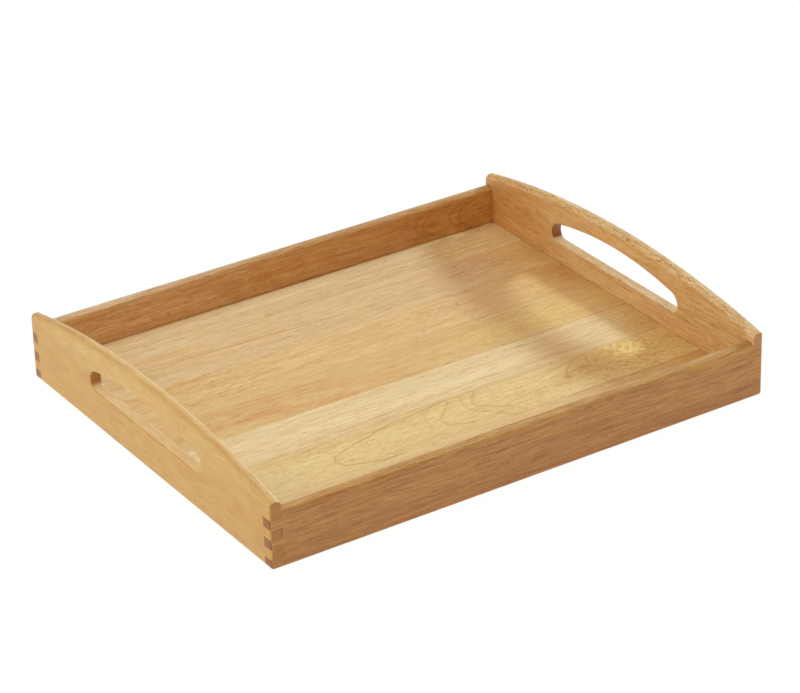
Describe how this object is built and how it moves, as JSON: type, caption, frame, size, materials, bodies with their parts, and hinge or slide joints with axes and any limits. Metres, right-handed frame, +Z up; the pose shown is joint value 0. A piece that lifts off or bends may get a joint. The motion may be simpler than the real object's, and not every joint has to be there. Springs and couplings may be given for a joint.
{
  "type": "serving tray",
  "caption": "Rectangular wooden serving tray with box-jointed walls, a flat panelled floor and taller arched ends, each with a hand slot.",
  "frame": {"origin": "middle of the footprint, on the surface that the tray stands on", "axes": "+X along the tray's length towards the right end board, +Y towards the back side board, +Z up"},
  "size_m": [0.5, 0.406, 0.083],
  "materials": {
    "left_end_wood": "satin",
    "right_end_wood": "satin",
    "front_wood": "satin",
    "back_wood": "satin",
    "stave_1_wood": "satin",
    "stave_2_wood": "satin",
    "stave_3_wood": "satin",
    "stave_4_wood": "satin",
    "stave_5_wood": "satin",
    "stave_6_wood": "satin",
    "stave_7_wood": "satin",
    "stave_8_wood": "satin"
  },
  "bodies": {
    "root": {"left_end_board": "left_end_wood", "right_end_board": "right_end_wood", "front_side_board": "front_wood", "back_side_board_left": "back_wood", "back_side_board_right": "back_wood", "floor_stave_1": "stave_1_wood", "floor_stave_2": "stave_2_wood", "floor_stave_3": "stave_3_wood", "floor_stave_4": "stave_4_wood", "floor_stave_5": "stave_5_wood", "floor_stave_6": "stave_6_wood", "floor_stave_7": "stave_7_wood", "floor_stave_8": "stave_8_wood"}
  },
  "joints": []
}
